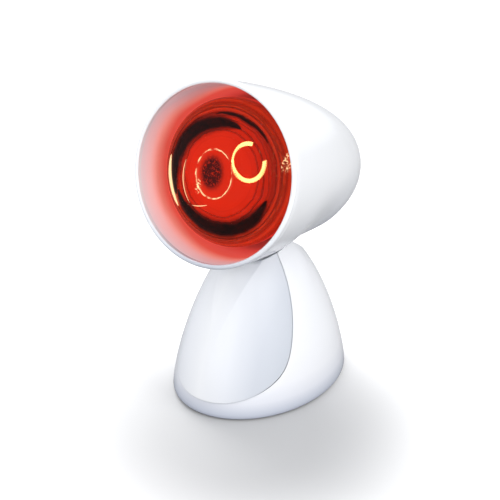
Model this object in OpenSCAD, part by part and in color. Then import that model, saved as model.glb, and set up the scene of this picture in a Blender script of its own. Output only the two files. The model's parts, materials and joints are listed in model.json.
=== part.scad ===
// Infrared heat therapy lamp: a hollow dome base that carries a tilting lamp head.
// The front faces -Y, +Z is up, and the origin is the middle of the base on the floor.
// Sizes are in millimetres.

/* [Base dome] */
// Half width of the dome at the floor
dome_half_w = 55.3; // [53:0.1:58]
// Half depth of the dome at the floor
dome_half_d = 72.1; // [69:0.1:76]
// Height at which the full dome would close
dome_h = 112.3; // [111:0.1:115]
// How early the dome starts to draw in, as an exponent over the height
dome_draw = 1.4; // [1.3:0.01:1.5]
// How square-shouldered the dome is, as the exponent of its side line
dome_shoulder = 1.78; // [1.7:0.01:1.9]
// Wall of the base shell
dome_wall = 2.5; // [2:0.1:3]
// Height of the shell's lower edge above the floor
dome_lift = 1; // [0.6:0.1:1.4]
// Radius that rounds the shell's lower edge
dome_foot_round = 1.4; // [0.8:0.1:2]

/* [Front cover] */
// Half width of the egg-shaped cover at its widest
cover_half_w = 42; // [40:0.5:43]
// Height of the cover's widest place above the floor
cover_wide_z = 36; // [34:0.5:38]
// How far the egg drops below its widest place
cover_drop = 23.7; // [22:0.1:25]
// How far the egg rises above its widest place
cover_rise = 76.8; // [75:0.1:80]
// How far the cover stands proud of the dome at its middle
cover_proud = 2.2; // [1.6:0.1:2.4]
// How far the cover's sides sink below the dome
cover_sink = 0.9; // [0.5:0.1:1.2]
// Wall of the front cover
cover_wall = 2.4; // [2:0.1:2.8]
// Width of the lip that the cover seats on, inside the dome
cover_lip = 2.9; // [2.6:0.1:3.2]

/* [Lamp head] */
// Radius of the head's front rim
rim_r = 59; // [58:0.1:60]
// Length of the head from the rim plane to its rear end
head_len = 158; // [156:0.5:160]
// How much the head's side line narrows towards the rear
head_taper = 7.8; // [7:0.1:9]
// How square-shouldered the head's rear end is
head_shoulder = 3.31; // [3.2:0.01:3.5]
// Wall of the head shell
head_wall = 2.5; // [2.2:0.1:3]
// Radius of the bead round the rim
bead_r = 1.6; // [1.4:0.1:2]
// Height of the rim's centre above the tilt axis
rim_rise = 83.2; // [82.5:0.1:85]
// Distance of the rim's centre in front of the dome's middle
rim_front = 56.3; // [55:0.1:58]
// Upward aim of the head as drawn
head_aim = 15; // [14:0.5:16]
// Number of cooling slots under the rear end
vent_count = 3; // [3:2:5]
// Width of a cooling slot
vent_w = 3.2; // [2:0.1:3.6]
// Turn between neighbouring cooling slots
vent_step = 17; // [15:1:18]

/* [Tilt hinge] */
// Distance of the tilt axis behind the dome's middle
pivot_back = 6; // [4:0.5:8]
// How far the tilt axis lies below the height at which the dome would close
pivot_drop = 28.3; // [27.8:0.1:29.3]
// Radius of the knuckle under the head
knuckle_r = 10; // [9:0.5:10.5]
// Half width of the knuckle
knuckle_half_w = 12; // [11.5:0.5:12.5]
// Thickness of each cheek of the yoke
cheek_t = 5; // [4.5:0.5:5.5]
// Thickness of the yoke's web
web_t = 4; // [3.5:0.5:4.5]
// Turn between two click positions of the head
click_step = 10; // [8:1:10]
// Click positions below the drawn one
clicks_down = 1; // [1:1:1]
// Click positions above the drawn one
clicks_up = 3; // [2:1:3]
// Radius of the tilt screw's shank
tilt_screw_r = 2.5; // [2:0.1:2.8]
// Outer radius of the hollow bush that carries the head's other side
bush_r = 5.5; // [5.2:0.1:6]
// Wall of the hollow bush
bush_wall = 2; // [1.8:0.1:2.2]
// Radius of the click ball
ball_r = 1.75; // [1.5:0.05:1.8]
// Distance of the click dimples from the tilt axis
dimple_pitch = 7.5; // [7.2:0.1:7.6]
// Half distance between the yoke's screws, side to side
yoke_screw_x = 23.5; // [23.5:0.5:24]
// Half distance between the yoke's screws, front to back
yoke_screw_y = 12; // [12:0.5:12.5]

/* [Bulb] */
// Radius of the bulb at its widest
bulb_r = 47.5; // [46:0.5:48]
// Length from the front glass's middle to the head's rear end
bulb_room = 150; // [148:0.5:152]
// Bulge of the front glass
lens_bulge = 11; // [9:0.5:12]
// Radius of the curved edge of the front glass
lens_edge_r = 4; // [3:0.5:5]
// How flat the front glass is before it turns into its edge
lens_flat = 2.6; // [2.2:0.1:3]
// Length of the reflector from its seam to the neck
reflector_len = 74; // [72:0.5:76]
// Radius of the bulb's neck
neck_r = 17; // [16:0.5:18]
// Wall of the bulb's glass
glass_wall = 1.4; // [1.2:0.1:1.6]
// Distance of the filament ring behind the front glass's middle
filament_depth = 33; // [30:1:36]
// Radius of the filament ring
filament_ring_r = 12; // [11:0.5:13]
// Radius of the coiled filament
filament_r = 0.8; // [0.6:0.1:1]
// How far the filament ring sits above the bulb's middle line
filament_up = 5.5; // [4.5:0.5:6]
// Crest radius of the screw cap's thread
cap_r = 13.1; // [13:0.05:13.2]
// Length of the screw cap
cap_len = 25; // [24:0.5:26]

/* [Lampholder] */
// Outer radius of the ceramic lampholder
holder_r = 19.5; // [18.5:0.5:20]
// Length of the ceramic lampholder
holder_len = 38; // [37:0.5:39]
// Thickness of the holder's steel strap
strap_t = 1.2; // [1:0.1:1.4]
// Half width of the steel strap
strap_half_w = 6; // [5:0.5:6.5]
// Distance of the strap's screws from the lamp's axis
strap_screw_x = 26; // [25.5:0.5:26.5]
// Distance of the lampholder's own screws from the lamp's axis
holder_screw_x = 8.5; // [8:0.5:9]

/* [Mains side] */
// Height of the rocker switch on the rear wall
switch_z = 36; // [34:1:38]
// Backward lean of the rocker switch
switch_lean = 19; // [17:1:21]
// Half width of the switch's bezel
bezel_half_w = 7.5; // [7:0.5:8]
// Half length of the switch's bezel
bezel_half_l = 11.5; // [11:0.5:12]
// Radius of the rocker's round ends about its pivot
rocker_r = 8.6; // [8:0.1:9]
// Half width of the rocker
rocker_half_w = 4.8; // [4.4:0.1:5.2]
// Tilt of the rocker to each side of its middle
rocker_throw = 9; // [8:0.5:10]
// Height of the cord inlet above the floor
inlet_z = 15; // [14.5:0.5:16]
// Bore radius of the cord inlet's bush
inlet_bore_r = 3.2; // [3:0.1:3.6]
// Outer radius of the cord inlet's bush
inlet_r = 5; // [4.8:0.1:5.4]

/* [Bottom] */
// Thickness of the anti-slip pad
pad_t = 1.5; // [1.2:0.1:1.8]
// Thickness of the bottom plate
plate_t = 2.5; // [2:0.1:3]
// Half distance between the bottom plate's screws, side to side
plate_screw_x = 41; // [40.5:0.5:41.5]
// Half distance between the bottom plate's screws, front to back
plate_screw_y = 22; // [20:0.5:24]
// Radius of the bottom plate's screw bosses
plate_boss_r = 4; // [3.6:0.1:4.4]

/* [Wiring] */
// Radius of the lamp's sheathed lead
lead_r = 2; // [1.8:0.1:2.1]
// Radius of a single switch lead
wire_r = 1.1; // [0.9:0.1:1.3]

/* [Clearances] */
// Gap between the base and the head in every click position
head_gap = 0.7; // [0.6:0.1:1]
// Gap round the front cover
seam_gap = 0.3; // [0.2:0.05:0.4]
// Gap between parts that slide or drop in
fit_gap = 0.3; // [0.2:0.05:0.4]
// Radial gap of a turning fit
run_gap = 0.06; // [0.04:0.01:0.08]
// Radial gap of a screw or ring held tight
tight_gap = 0.03; // [0.02:0.01:0.05]

/* [Hidden] */

$fn = 64;
eps = 0.01;
far = 200;

gloss_white = "#f4f5f7";
switch_grey = "#3a3d42";
steel = "#b9bcc0";
brass = "#c9a75a";
ceramic = "#ece7dc";
ruby_glass = "#c81e10";
lead_white = "#e9e9ea";
pad_black = "#2b2c2e";

// Side line of the dome at height z, grown outwards by g
function dome_line(z, g) =
    (dome_half_w + g) * pow(max(0, 1 - pow(z / (dome_h + g), dome_draw)), 1 / dome_shoulder);
// Half depth of the dome at height z
function dome_depth(z) = dome_line(z, 0) * dome_half_d / dome_half_w;
// Side line of the head at depth h behind the rim, grown outwards by g
function head_line(h, g) =
    (rim_r + g - head_taper * h / (head_len + g))
    * pow(max(0, 1 - pow(h / (head_len + g), 2)), 1 / head_shoulder);
// Corner of a quarter superellipse at angle a
function bow(a, half_w, rise, n) = [half_w * pow(cos(a), 2 / n), rise * pow(sin(a), 2 / n)];

dome_steps = 11;
dome_sides = 36;
seat_t = 2.6;
cover_back_y = -1;
head_steps = 20;
bead_step = 0.15;
clicks = [for (i = [-clicks_down:clicks_up]) i * click_step];
pivot_z = dome_h - pivot_drop;
rim_z = pivot_z + rim_rise;

bulb_inset = head_len - bulb_room;
lens_h = bulb_inset + lens_bulge;
seam_h = lens_h + lens_edge_r;
neck_h = seam_h + reflector_len;
cap_h = neck_h + 9;
cap_end = cap_h + cap_len;
holder_front = cap_h + 2;
holder_end = holder_front + holder_len;
sleeve_r = cap_r + 0.3;
sleeve_t = 0.5;
holder_bore_r = sleeve_r + sleeve_t + tight_gap;
holder_floor = cap_end + 3.4;
stem_tip_r = 3;
stem_front = neck_h - 28;
support_wire_r = 0.45;

strap_foot_h = holder_end - 12;
strap_leg_x = holder_r + fit_gap;
strap_foot_x = strap_screw_x + 4;
strap_boss_r = 3.4;

cheek_in = knuckle_half_w + 0.4;
cheek_out = cheek_in + cheek_t;
washer_t = 1.4;
washer_r = knuckle_r - 0.8;
tilt_head_t = 3.2;
bush_bore_r = bush_r - bush_wall;
bush_in = knuckle_half_w - 7.5;
bush_flange_t = 1.5;
channel_r = bush_bore_r;
yoke_z = pivot_z - knuckle_r - 1.5 - web_t;
ball_x = knuckle_half_w - 0.6 + ball_r;
yoke_mid = pivot_back + 3;
yoke_corner_r = 4.5;
yoke_boss_r = 3.6;
yoke_boss_h = 40;
lead_notch_x = cheek_out + 4.2;
lead_notch_y = yoke_mid + 2.8;
lead_notch_half_w = 4.8;

plate_z = pad_t;
plate_top = plate_z + plate_t;
plate_inset = dome_wall + fit_gap;
screw_r = 1.5;
screw_head_r = 2.8;
screw_head_t = 1.8;
screw_sink = 1.2;
plate_boss_h = 60;
pilot_r = screw_r + tight_gap;
pilot_sides = 14;
cut_pilot_r = pilot_r / cos(180 / pilot_sides);

inlet_land_w = 3.5;
switch_wall_y = dome_depth(switch_z);
bezel_t = 1.6;
bezel_sink = 1.2;
body_half_w = rocker_half_w + 1.6;
body_half_l = rocker_r + 1.6;
body_d = 12;
rocker_pivot = -3;

block_x = 8;
block_y = 20;
block_w = 18;
block_d = 16;
block_h = 13;
block_z = plate_top + 3;

lead_turn_r = 5;
lead_meet_x = 14;
// Places that the lead passes inside the head: height above the lamp's axis, then depth
head_lead_route = [[-12, holder_end], [-13, 149.5], [-17, 150.5], [-22, 147], [-26, 141], [-30, 133],
                   [-34.5, 120], [-38.5, 106], [-41, 94]];
// Places that the lead passes inside the base, from beside the yoke to the terminals
base_lead_route = [[24, 9, 76], [25.5, 14, 66], [24.5, 18, 54], [21, 22, 42], [16.5, 24, 32], [13, 24, 24]];

// ---- shared shapes ----

// Corners of a level oval, given as [half width, half depth, height]
function oval(row) = [for (k = [0:dome_sides - 1]) let (a = 360 * k / dome_sides)
    [row[0] * cos(a), row[1] * sin(a), row[2]]];

// The slab between two level ovals
module oval_slab(low, high) {
    under = [for (k = [0:dome_sides - 1]) k];
    over = [for (k = [0:dome_sides - 1]) 2 * dome_sides - 1 - k];
    hull()
        polyhedron(points = concat(oval(low), oval(high)), faces = [under, over]);
}

// An upright solid with oval level sections
module oval_stack(rows) {
    for (i = [0:len(rows) - 2])
        oval_slab(rows[i], rows[i + 1]);
}

// Heights of the dome's rows from z0 up to just under the top
function row_heights(z0, top) =
    [for (i = [0:dome_steps]) z0 + (top - z0) * sin(87 * i / dome_steps)];

// The dome as a solid, grown outwards by g, from height z0 up
module dome_solid(g, z0) {
    stretch = (dome_half_d + g) / (dome_half_w + g);
    oval_stack([for (z = row_heights(z0, dome_h + g))
        [dome_line(z, g), dome_line(z, g) * stretch, z]]);
}

// The dome's outside with its rounded lower edge
module dome_outside() {
    foot_z = dome_lift + dome_foot_round;
    foot = [for (a = [-90:30:-30])
        [dome_line(foot_z, 0) - dome_foot_round * (1 - cos(a)), dome_lift + dome_foot_round * (1 + sin(a))]];
    line = [for (z = row_heights(foot_z, dome_h)) [dome_line(z, 0), z]];
    stretch = dome_half_d / dome_half_w;
    oval_stack([for (p = concat(foot, line)) [p[0], p[0] * stretch, p[1]]]);
}

// Egg-shaped outline of the front cover, grown by g
module egg(g) {
    low = [for (a = [-90:10:0]) let (p = bow(-a, cover_half_w + g, cover_drop + g, 2.5))
        [p[0], cover_wide_z - p[1]]];
    high = [for (a = [6:6:90]) let (p = bow(a, cover_half_w + g, cover_rise + g, 1.6))
        [p[0], cover_wide_z + p[1]]];
    side = concat(low, high);
    other = [for (i = [len(side) - 2:-1:1]) [-side[i][0], side[i][1]]];
    polygon(concat(side, other));
}

// The egg outline as a block that reaches forward from the depth y
module egg_block(g, y) {
    translate([0, y, 0])
        rotate([90, 0, 0])
            linear_extrude(far)
                egg(g);
}

// Places children in the lamp's own frame: Z runs back along its axis, Y points down
module on_lamp_axis() {
    translate([0, -rim_front, rim_z])
        rotate([-90 - head_aim, 0, 0])
            children();
}

// Turns children about the tilt axis, up by a
module tilted(a) {
    translate([0, pivot_back, pivot_z])
        rotate([-a, 0, 0])
            translate([0, -pivot_back, -pivot_z])
                children();
}

// The head as a solid of revolution, grown outwards by g
module head_solid(g, steps) {
    length = head_len + g;
    line = [for (i = [0:steps]) let (h = length * sin(90 * i / steps)) [head_line(h, g), h]];
    rotate_extrude()
        polygon(concat([[0, 0]], line));
}

// Room that the head's belly needs, from its lowest to its highest click position
module head_room() {
    line = [for (h = [24:17:126]) [head_line(h, head_gap), h]];
    for (a = [clicks[0], (clicks[0] + clicks[len(clicks) - 1]) / 2, clicks[len(clicks) - 1]])
        tilted(a)
            on_lamp_axis()
                rotate_extrude($fn = 48)
                    polygon(concat([[0, 24]], line, [[0, 126]]));
}

// A cylinder along X from x0 to x1, on the tilt axis
module on_pivot(x0, x1, r) {
    translate([x0, pivot_back, pivot_z])
        rotate([0, 90, 0])
            cylinder(r = r, h = x1 - x0);
}

// A pan-head screw with its head's underside at the origin and its shank down -Z
module pan_screw(r, length, head_r, head_t) {
    difference() {
        union() {
            translate([0, 0, -length])
                cylinder(r = r, h = length + eps);
            cylinder(r1 = head_r, r2 = head_r * 0.75, h = head_t);
        }
        for (a = [0, 90])
            rotate(a)
                translate([-head_r * 0.45, -0.4, head_t - 1])
                    cube([head_r * 0.9, 0.8, 2]);
    }
}

// Repeats children at the four corners of a rectangle
module four(x, y) {
    for (sx = [-1, 1])
        for (sy = [-1, 1])
            translate([sx * x, sy * y, 0])
                children();
}

// A tube of radius r swept along points, with flat ends square to the end directions
module swept_tube(path, r, first, last) {
    n = len(path);
    sides = 8;
    dirs = [for (i = [0:n - 1])
        i == 0 ? first : i == n - 1 ? last
        : unit(unit(path[i] - path[i - 1]) + unit(path[i + 1] - path[i]))];
    rings = [for (i = [0:n - 1]) let (
            d = dirs[i],
            ref = frame_x(path, dirs, i),
            side = cross(d, ref))
        for (k = [0:sides - 1]) let (a = 360 * (k + 0.5) / sides)
            path[i] + r * (cos(a) * ref + sin(a) * side)];
    walls = [for (i = [0:n - 2]) for (k = [0:sides - 1]) let (
            m = (k + 1) % sides,
            p = i * sides,
            q = p + sides)
        each [[p + k, q + k, q + m], [p + k, q + m, p + m]]];
    start = [for (k = [1:sides - 2]) [0, k, k + 1]];
    end = [for (k = [1:sides - 2])
        [(n - 1) * sides, (n - 1) * sides + k + 1, (n - 1) * sides + k]];
    polyhedron(points = rings, faces = concat(walls, start, end));
}

function unit(v) = v / norm(v);
// Sideways direction of ring i, carried along from the first ring
function frame_x(path, dirs, i) =
    i == 0 ? unit(cross(dirs[0], abs(dirs[0][0]) < 0.9 ? [1, 0, 0] : [0, 1, 0]))
    : let (p = frame_x(path, dirs, i - 1)) unit(p - (p * dirs[i]) * dirs[i]);

// Points of a smooth curve through the given places
function smooth(path, steps) = concat(
    [for (i = [0:len(path) - 2]) for (s = [0:steps - 1])
        curve_point(path[max(0, i - 1)], path[i], path[i + 1],
                    path[min(len(path) - 1, i + 2)], s / steps)],
    [path[len(path) - 1]]);
function curve_point(a, b, c, d, t) =
    0.5 * (2 * b + (c - a) * t + (2 * a - 5 * b + 4 * c - d) * t * t
           + (3 * b - a - 3 * c + d) * t * t * t);

// A place in the lamp's own frame, given as height above its axis and depth, in world terms
function lamp_place(up, h) = [
    0,
    -rim_front + h * cos(head_aim) + up * sin(head_aim),
    rim_z - h * sin(head_aim) + up * cos(head_aim)
];

// Places children on the rear wall at the switch: Z points out of the wall, Y points down
module on_switch() {
    translate([0, switch_wall_y, switch_z])
        rotate([switch_lean - 90, 0, 0])
            children();
}

// ---- base ----

module base_shell() {
    color(gloss_white)
        difference() {
            union() {
                difference() {
                    dome_outside();
                    dome_solid(-dome_wall, 0);
                    egg_block(seam_gap, cover_back_y + seam_gap);
                }
                cover_seat();
                intersection() {
                    dome_solid(-dome_wall / 2, dome_lift + 1);
                    difference() {
                        union() {
                            plate_bosses();
                            yoke_bosses();
                            inlet_land();
                            switch_land();
                        }
                        cover_room();
                    }
                }
            }
            head_room();
            plate_boss_holes();
            yoke_boss_holes();
            switch_opening();
            inlet_opening();
        }
}

// Ledge inside the dome, round the egg, that the front cover seats on
module cover_seat() {
    difference() {
        intersection() {
            dome_solid(-dome_wall / 2, cover_wide_z - cover_drop - cover_lip - 2);
            egg_block(cover_lip, cover_back_y - 1);
        }
        cover_dome(-cover_wall - seam_gap - seat_t);
        egg_block(-cover_lip, 0);
        cover_room();
    }
}

// Space that the front cover takes up, with its gap
module cover_room() {
    difference() {
        egg_block(seam_gap, cover_back_y + seam_gap);
        cover_dome(-cover_wall - seam_gap);
    }
}

module plate_bosses() {
    four(plate_screw_x, plate_screw_y)
        translate([0, 0, plate_top + eps])
            cylinder(r = plate_boss_r, h = plate_boss_h, $fn = 20);
}

module plate_boss_holes() {
    four(plate_screw_x, plate_screw_y)
        translate([0, 0, plate_top - 1])
            cylinder(r = cut_pilot_r, h = 10, $fn = pilot_sides);
}

module yoke_bosses() {
    translate([0, yoke_mid, yoke_z + web_t])
        four(yoke_screw_x, yoke_screw_y)
            cylinder(r = yoke_boss_r, h = yoke_boss_h, $fn = 20);
}

module yoke_boss_holes() {
    translate([0, yoke_mid, yoke_z])
        four(yoke_screw_x, yoke_screw_y)
            cylinder(r = cut_pilot_r, h = web_t + 9, $fn = pilot_sides);
}

module switch_land() {
    on_switch()
        translate([-bezel_half_w - 3, -bezel_half_l - 3, -bezel_sink - 3])
            cube([2 * bezel_half_w + 6, 2 * bezel_half_l + 6, 8]);
}

module switch_opening() {
    on_switch() {
        translate([-bezel_half_w - fit_gap, -bezel_half_l - fit_gap, -bezel_sink])
            cube([2 * (bezel_half_w + fit_gap), 2 * (bezel_half_l + fit_gap), 10]);
        translate([-body_half_w - fit_gap, -body_half_l - fit_gap, -20])
            cube([2 * (body_half_w + fit_gap), 2 * (body_half_l + fit_gap), 30]);
    }
}

module inlet_land() {
    translate([0, far / 2, inlet_z])
        rotate([90, 0, 0])
            cylinder(r = inlet_r + inlet_land_w, h = far / 2 - dome_depth(inlet_z) + 6, $fn = 28);
}

module inlet_opening() {
    y = dome_depth(inlet_z);
    translate([0, far / 2, inlet_z])
        rotate([90, 0, 0]) {
            cylinder(r = inlet_r + tight_gap, h = far / 2, $fn = 36);
            cylinder(r = inlet_r + 2 + fit_gap, h = far / 2 - y + 1.5, $fn = 36);
        }
}

module front_cover() {
    color(gloss_white)
        difference() {
            intersection() {
                cover_dome(0);
                egg_block(0, cover_back_y);
            }
            cover_dome(-cover_wall);
            head_room();
        }
}

// The cover's own dome: proud of the base dome at the front and sunk at the sides
module cover_dome(g) {
    w = (dome_half_w - cover_sink + g) / dome_half_w;
    d = (dome_half_d + cover_proud + g) / dome_half_d;
    oval_stack([for (z = row_heights(cover_wide_z - cover_drop - 6, dome_h))
        [w * dome_line(z, 0), d * dome_depth(z), z]]);
}

module bottom_plate() {
    color(gloss_white)
        difference() {
            plate_disc(plate_z, plate_t, plate_inset);
            at_bottom_screws()
                translate([0, 0, plate_z - 1]) {
                    cylinder(r = screw_r + fit_gap, h = plate_t + 2);
                    cylinder(r = screw_head_r + fit_gap, h = 1 + screw_sink);
                }
        }
}

// Repeats children at every screw that enters through the bottom plate
module at_bottom_screws() {
    four(plate_screw_x, plate_screw_y)
        children();
    translate([block_x, block_y, 0])
        children();
}

// A flat piece that follows the dome's footprint, drawn in by inset
module plate_disc(z, t, inset) {
    w = dome_line(z + t, 0) - inset;
    d = dome_depth(z + t) - inset;
    oval_slab([w, d, z], [w, d, z + t]);
}

module anti_slip_pad() {
    color(pad_black)
        difference() {
            plate_disc(0, pad_t, plate_inset + 3);
            at_bottom_screws()
                translate([0, 0, -1])
                    cylinder(r = screw_head_r + 0.6, h = pad_t + 2);
        }
}

module plate_screws() {
    color(steel)
        four(plate_screw_x, plate_screw_y)
            translate([0, 0, plate_z + screw_sink])
                mirror([0, 0, 1])
                    pan_screw(screw_r, 8, screw_head_r, screw_head_t);
}

// ---- hinge ----

module hinge_yoke() {
    color(gloss_white)
        difference() {
            union() {
                translate([0, yoke_mid, yoke_z])
                    linear_extrude(web_t)
                        rounded_rect(yoke_screw_x + yoke_corner_r, yoke_screw_y + yoke_corner_r);
                for (x = [-cheek_out, cheek_in]) {
                    translate([x, pivot_back - knuckle_r, yoke_z + web_t - eps])
                        cube([cheek_t, 2 * knuckle_r, pivot_z - yoke_z - web_t]);
                    on_pivot(x, x + cheek_t, knuckle_r);
                }
            }
            on_pivot(-cheek_out - 1, -cheek_in + 1, tilt_screw_r + run_gap);
            on_pivot(cheek_in - 1, cheek_out + 1, bush_r + run_gap);
            translate([0, 0, -dimple_pitch])
                on_pivot(-cheek_out - 1, -cheek_in + 1, ball_r + run_gap);
            translate([0, yoke_mid, yoke_z - 1])
                four(yoke_screw_x, yoke_screw_y)
                    cylinder(r = screw_r + fit_gap, h = web_t + 2);
            translate([lead_notch_x, lead_notch_y - lead_notch_half_w, yoke_z - 1])
                cube([20, 2 * lead_notch_half_w, web_t + 2]);
        }
}

module rounded_rect(half_w, half_d) {
    square([2 * half_w, 2 * (half_d - yoke_corner_r)], center = true);
    square([2 * (half_w - yoke_corner_r), 2 * half_d], center = true);
    four(half_w - yoke_corner_r, half_d - yoke_corner_r)
        circle(r = yoke_corner_r);
}

module yoke_screws() {
    color(steel)
        translate([0, yoke_mid, yoke_z])
            four(yoke_screw_x, yoke_screw_y)
                mirror([0, 0, 1])
                    pan_screw(screw_r, web_t + 6, screw_head_r, screw_head_t);
}

module tilt_screw() {
    color(steel)
        translate([-cheek_out - washer_t - run_gap, pivot_back, pivot_z])
            rotate([0, -90, 0])
                pan_screw(tilt_screw_r, cheek_out + washer_t - channel_r - 1.2, 4.6, tilt_head_t);
}

// Two shallow cones back to back that keep the hinge pinched
module spring_washer() {
    inner = tilt_screw_r + run_gap;
    color(steel)
        translate([-cheek_out, pivot_back, pivot_z])
            rotate([0, -90, 0])
                rotate_extrude()
                    polygon([[inner, 0.5], [washer_r, 0], [washer_r, 0.4], [inner + 1, washer_t], [inner, washer_t]]);
}

module hinge_bush() {
    color(steel)
        difference() {
            union() {
                on_pivot(bush_in, cheek_out + run_gap + eps, bush_r);
                on_pivot(cheek_out + run_gap, cheek_out + run_gap + bush_flange_t, bush_r + 2);
            }
            on_pivot(bush_in - 1, cheek_out + 5, bush_bore_r);
        }
}

module click_ball() {
    color(steel)
        translate([-ball_x, pivot_back, pivot_z - dimple_pitch])
            sphere(r = ball_r);
}

module click_spring() {
    end = ball_x + ball_r * 0.8;
    color(steel)
        translate([0, 0, -dimple_pitch])
            difference() {
                on_pivot(-cheek_out, -end, ball_r - 0.1);
                on_pivot(-cheek_out - 1, -end + 1, ball_r - 0.75);
            }
}

// ---- head ----

module head_shell() {
    color(gloss_white)
        difference() {
            union() {
                on_lamp_axis()
                    difference() {
                        union() {
                            head_solid(0, head_steps);
                            rim_bead();
                        }
                        translate([0, 0, -eps])
                            head_solid(-head_wall, head_steps);
                    }
                on_lamp_axis()
                    intersection() {
                        head_solid(-head_wall / 2, head_steps);
                        strap_bosses();
                    }
                knuckle();
            }
            on_lamp_axis() {
                strap_boss_holes();
                vents();
            }
            knuckle_bores();
        }
}

module rim_bead() {
    rotate_extrude()
        translate([rim_r - bead_r + bead_step, 0])
            circle(r = bead_r);
}

module knuckle() {
    on_pivot(-knuckle_half_w, knuckle_half_w, knuckle_r);
    translate([-knuckle_half_w, pivot_back - knuckle_r, pivot_z])
        cube([2 * knuckle_half_w, 2 * knuckle_r, knuckle_top - pivot_z]);
}

// Height at which the knuckle ends inside the head's wall
knuckle_top = lamp_place(-head_line(head_len / 2, 0), head_len / 2)[2] + head_wall + 1;

module knuckle_bores() {
    on_pivot(-knuckle_half_w - 1, -channel_r + 1, tilt_screw_r + tight_gap);
    on_pivot(bush_in, knuckle_half_w + 1, bush_r + tight_gap);
    on_pivot(0, bush_in + 1, channel_r);
    translate([0, pivot_back, pivot_z])
        cylinder(r = channel_r, h = 30);
    translate([-knuckle_half_w, pivot_back, pivot_z])
        rotate([0, 90, 0])
            rotate_extrude()
                translate([dimple_pitch, 0])
                    square([2 * ball_r + 0.6, 1.6], center = true);
    for (a = clicks)
        translate([-knuckle_half_w - 1, pivot_back, pivot_z])
            rotate([a, 0, 0])
                translate([0, 0, -dimple_pitch])
                    rotate([0, 90, 0])
                        cylinder(r = ball_r - 0.2, h = 2.2);
}

module strap_bosses() {
    for (s = [-1, 1])
        translate([s * strap_screw_x, 0, strap_foot_h + strap_t])
            cylinder(r = strap_boss_r, h = 40);
}

module strap_boss_holes() {
    for (s = [-1, 1])
        translate([s * strap_screw_x, 0, strap_foot_h])
            cylinder(r = pilot_r, h = 8);
}

module vents() {
    for (i = [0:vent_count - 1])
        rotate((i - (vent_count - 1) / 2) * vent_step)
            translate([-vent_w / 2, 17, head_len - 22])
                cube([vent_w, 30, 15]);
}

module lampholder_body() {
    back_r = holder_r - 3;
    color(ceramic)
        on_lamp_axis()
            difference() {
                rotate_extrude()
                    polygon([
                        [holder_bore_r, holder_front],
                        [holder_r - 1, holder_front],
                        [holder_r, holder_front + 1],
                        [holder_r, holder_end - 5],
                        [back_r, holder_end],
                        [0, holder_end],
                        [0, holder_floor],
                        [holder_bore_r, holder_floor]
                    ]);
                for (s = [-1, 1])
                    translate([s * holder_screw_x, 0, holder_end - 7])
                        cylinder(r = pilot_r, h = 8);
            }
}

module lampholder_sleeve() {
    color(brass)
        on_lamp_axis()
            rotate_extrude()
                translate([sleeve_r, holder_front + 3])
                    square([sleeve_t, holder_floor - holder_front - 3]);
}

module lampholder_contact() {
    color(brass)
        on_lamp_axis()
            translate([0, 0, holder_floor])
                mirror([0, 0, 1]) {
                    translate([-3.5, -8, 0])
                        cube([7, 14, 0.8]);
                    cylinder(r1 = 3.5, r2 = 2.5, h = 1.6);
                }
}

module holder_strap() {
    t = strap_t;
    color(steel)
        on_lamp_axis()
            difference() {
                for (s = [0, 1])
                    mirror([s, 0, 0]) {
                        translate([-eps, -strap_half_w, holder_end])
                            cube([strap_leg_x + t + eps, 2 * strap_half_w, t]);
                        translate([strap_leg_x, -strap_half_w, strap_foot_h])
                            cube([t, 2 * strap_half_w, holder_end + t - strap_foot_h]);
                        translate([strap_leg_x, -strap_half_w, strap_foot_h])
                            cube([strap_foot_x - strap_leg_x, 2 * strap_half_w, t]);
                    }
                for (s = [-1, 1]) {
                    translate([s * holder_screw_x, 0, holder_end - 1])
                        cylinder(r = screw_r + fit_gap, h = t + 2);
                    translate([s * strap_screw_x, 0, strap_foot_h - 1])
                        cylinder(r = screw_r + fit_gap, h = t + 2);
                }
            }
}

module holder_screws() {
    color(steel)
        on_lamp_axis()
            for (s = [-1, 1])
                translate([s * holder_screw_x, 0, holder_end + strap_t])
                    pan_screw(screw_r, strap_t + 6, screw_head_r, screw_head_t);
}

module strap_screws() {
    color(steel)
        on_lamp_axis()
            for (s = [-1, 1])
                translate([s * strap_screw_x, 0, strap_foot_h])
                    mirror([0, 0, 1])
                        pan_screw(screw_r, strap_t + 6, screw_head_r, screw_head_t);
}

// ---- bulb ----

// Radius of the reflector's side line at distance t (0 to 1) from its seam
function reflector_line(t, r0, r1) = r1 + (r0 - r1) * (cos(180 * pow(t, 1.15)) + 1) / 2;

// Half outline of the front glass, drawn in by g
function lens_outline(g) =
    let (wide = bulb_r - g, front = bulb_inset + g)
    [for (a = [0:7.5:90]) let (share = sin(a))
        [wide * share, front + (seam_h - front) * (1 - pow(1 - pow(share, lens_flat), 1 / 3))]];

module bulb_lens() {
    outer = lens_outline(0);
    inner = lens_outline(glass_wall);
    color(ruby_glass)
        on_lamp_axis()
            rotate_extrude()
                polygon(concat(outer, [for (i = [len(inner) - 1:-1:0]) inner[i]]));
}

module bulb_reflector() {
    steps = 16;
    outer = [for (i = [0:steps])
        [reflector_line(i / steps, bulb_r, neck_r), seam_h + reflector_len * i / steps]];
    inner = [for (i = [steps:-1:0])
        [reflector_line(i / steps, bulb_r, neck_r) - glass_wall,
         seam_h + reflector_len * i / steps]];
    color("#a9adb2")
        on_lamp_axis()
            rotate_extrude()
                polygon(concat(
                    outer,
                    [[neck_r, neck_h + 4], [cap_r - 1, cap_h]],
                    [[cap_r - 1 - glass_wall, cap_h], [neck_r - glass_wall, neck_h + 4]],
                    inner));
}

module bulb_stem() {
    color("#dfe4e6")
        on_lamp_axis()
            translate([0, 0, stem_front])
                rotate_extrude()
                    polygon([[0, 0], [stem_tip_r, 0], [stem_tip_r, 4], [4, 22], [cap_r - 2.6, 36], [0, 37]]);
}

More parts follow.
